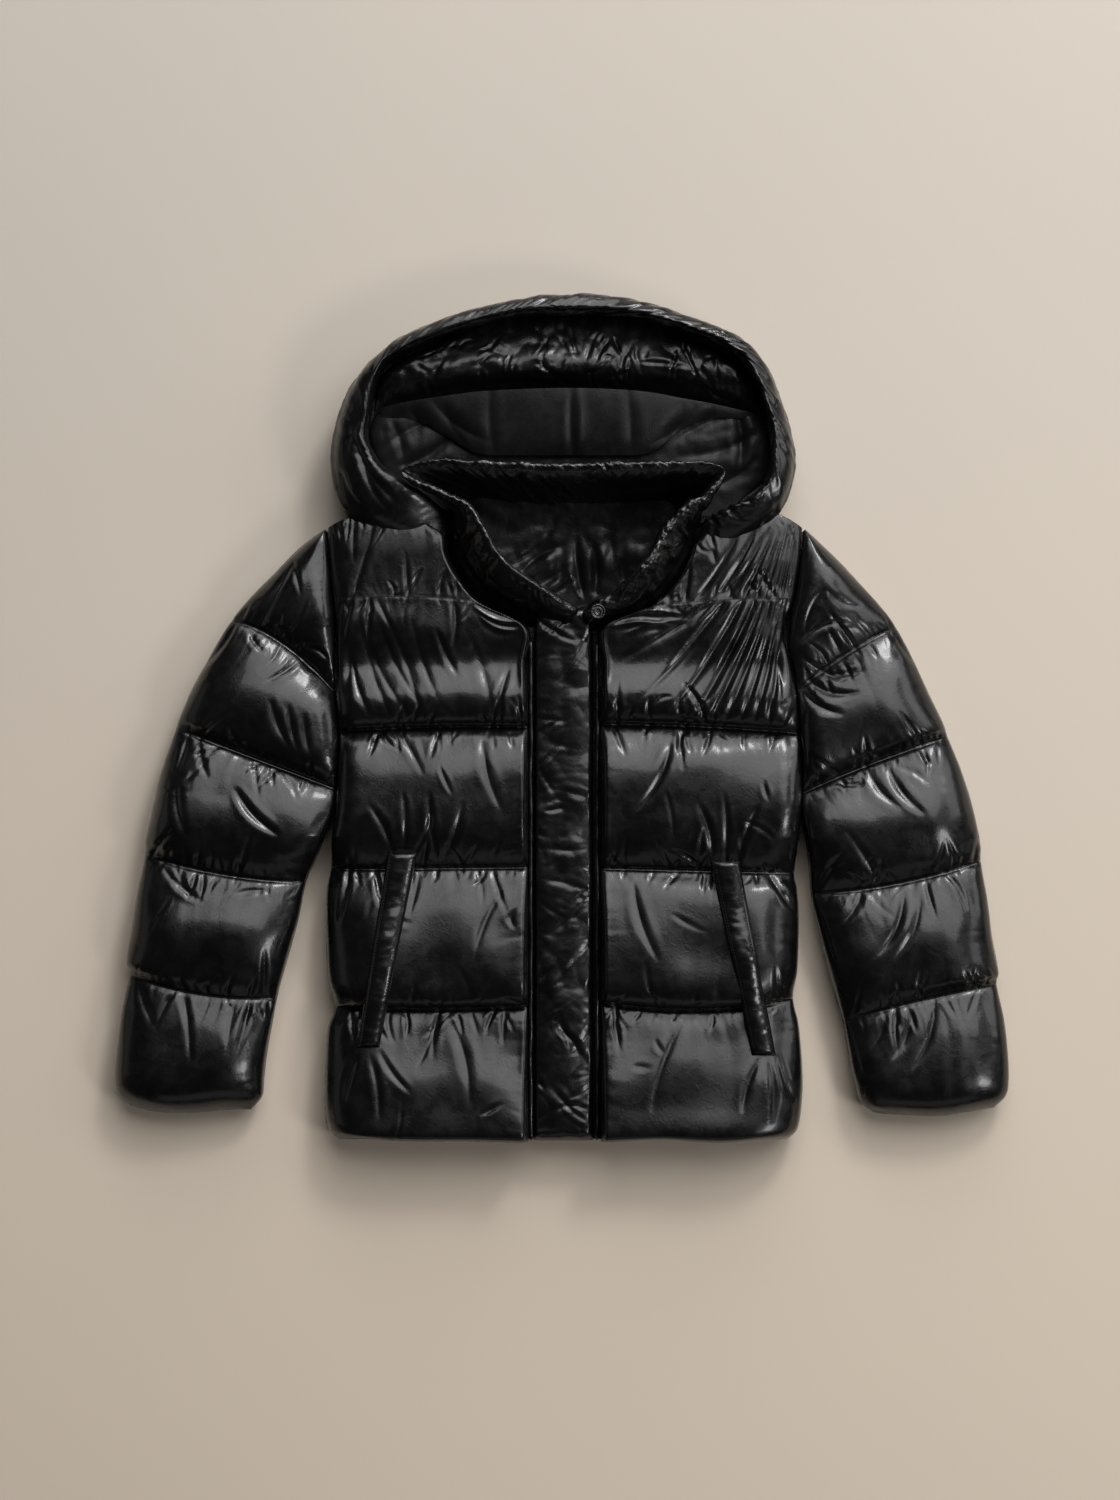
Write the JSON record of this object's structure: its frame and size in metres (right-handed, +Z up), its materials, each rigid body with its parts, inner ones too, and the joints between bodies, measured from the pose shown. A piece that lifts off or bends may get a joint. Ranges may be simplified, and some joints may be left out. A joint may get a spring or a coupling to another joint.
{
  "type": "hooded puffer jacket laid flat",
  "caption": "Cropped, hooded down jacket in glossy black nylon, laid out flat on its back with sleeves at its sides, snap and placket closed and the hood open towards the viewer.",
  "frame": {"origin": "on the surface that the jacket lies on, under the middle of its bounding box", "axes": "+Z up from the surface, +Y towards the hood, +X towards the wearer's left sleeve"},
  "size_m": [0.8952, 0.8444, 0.0922],
  "materials": {
    "shell_nylon": "glossy",
    "lining_nylon": "satin",
    "snap_metal": "gloss"
  },
  "bodies": {
    "root": {"front_panel_right": "shell_nylon", "front_panel_left": "shell_nylon", "sleeve_right_upper": "shell_nylon", "sleeve_left_upper": "shell_nylon", "back_panel": "shell_nylon", "sleeve_right_under": "shell_nylon", "sleeve_left_under": "shell_nylon", "hood_back": "shell_nylon", "hood_edge": "shell_nylon", "collar": "shell_nylon", "placket": "shell_nylon", "placket_piping_right": "shell_nylon", "placket_piping_left": "shell_nylon", "pocket_welt_right": "shell_nylon", "pocket_welt_left": "shell_nylon", "hood_lining_upper": "lining_nylon", "hood_lining_lower": "lining_nylon", "hood_lining_band": "lining_nylon", "neck_lining": "lining_nylon", "snap_button": "snap_metal"}
  },
  "joints": []
}
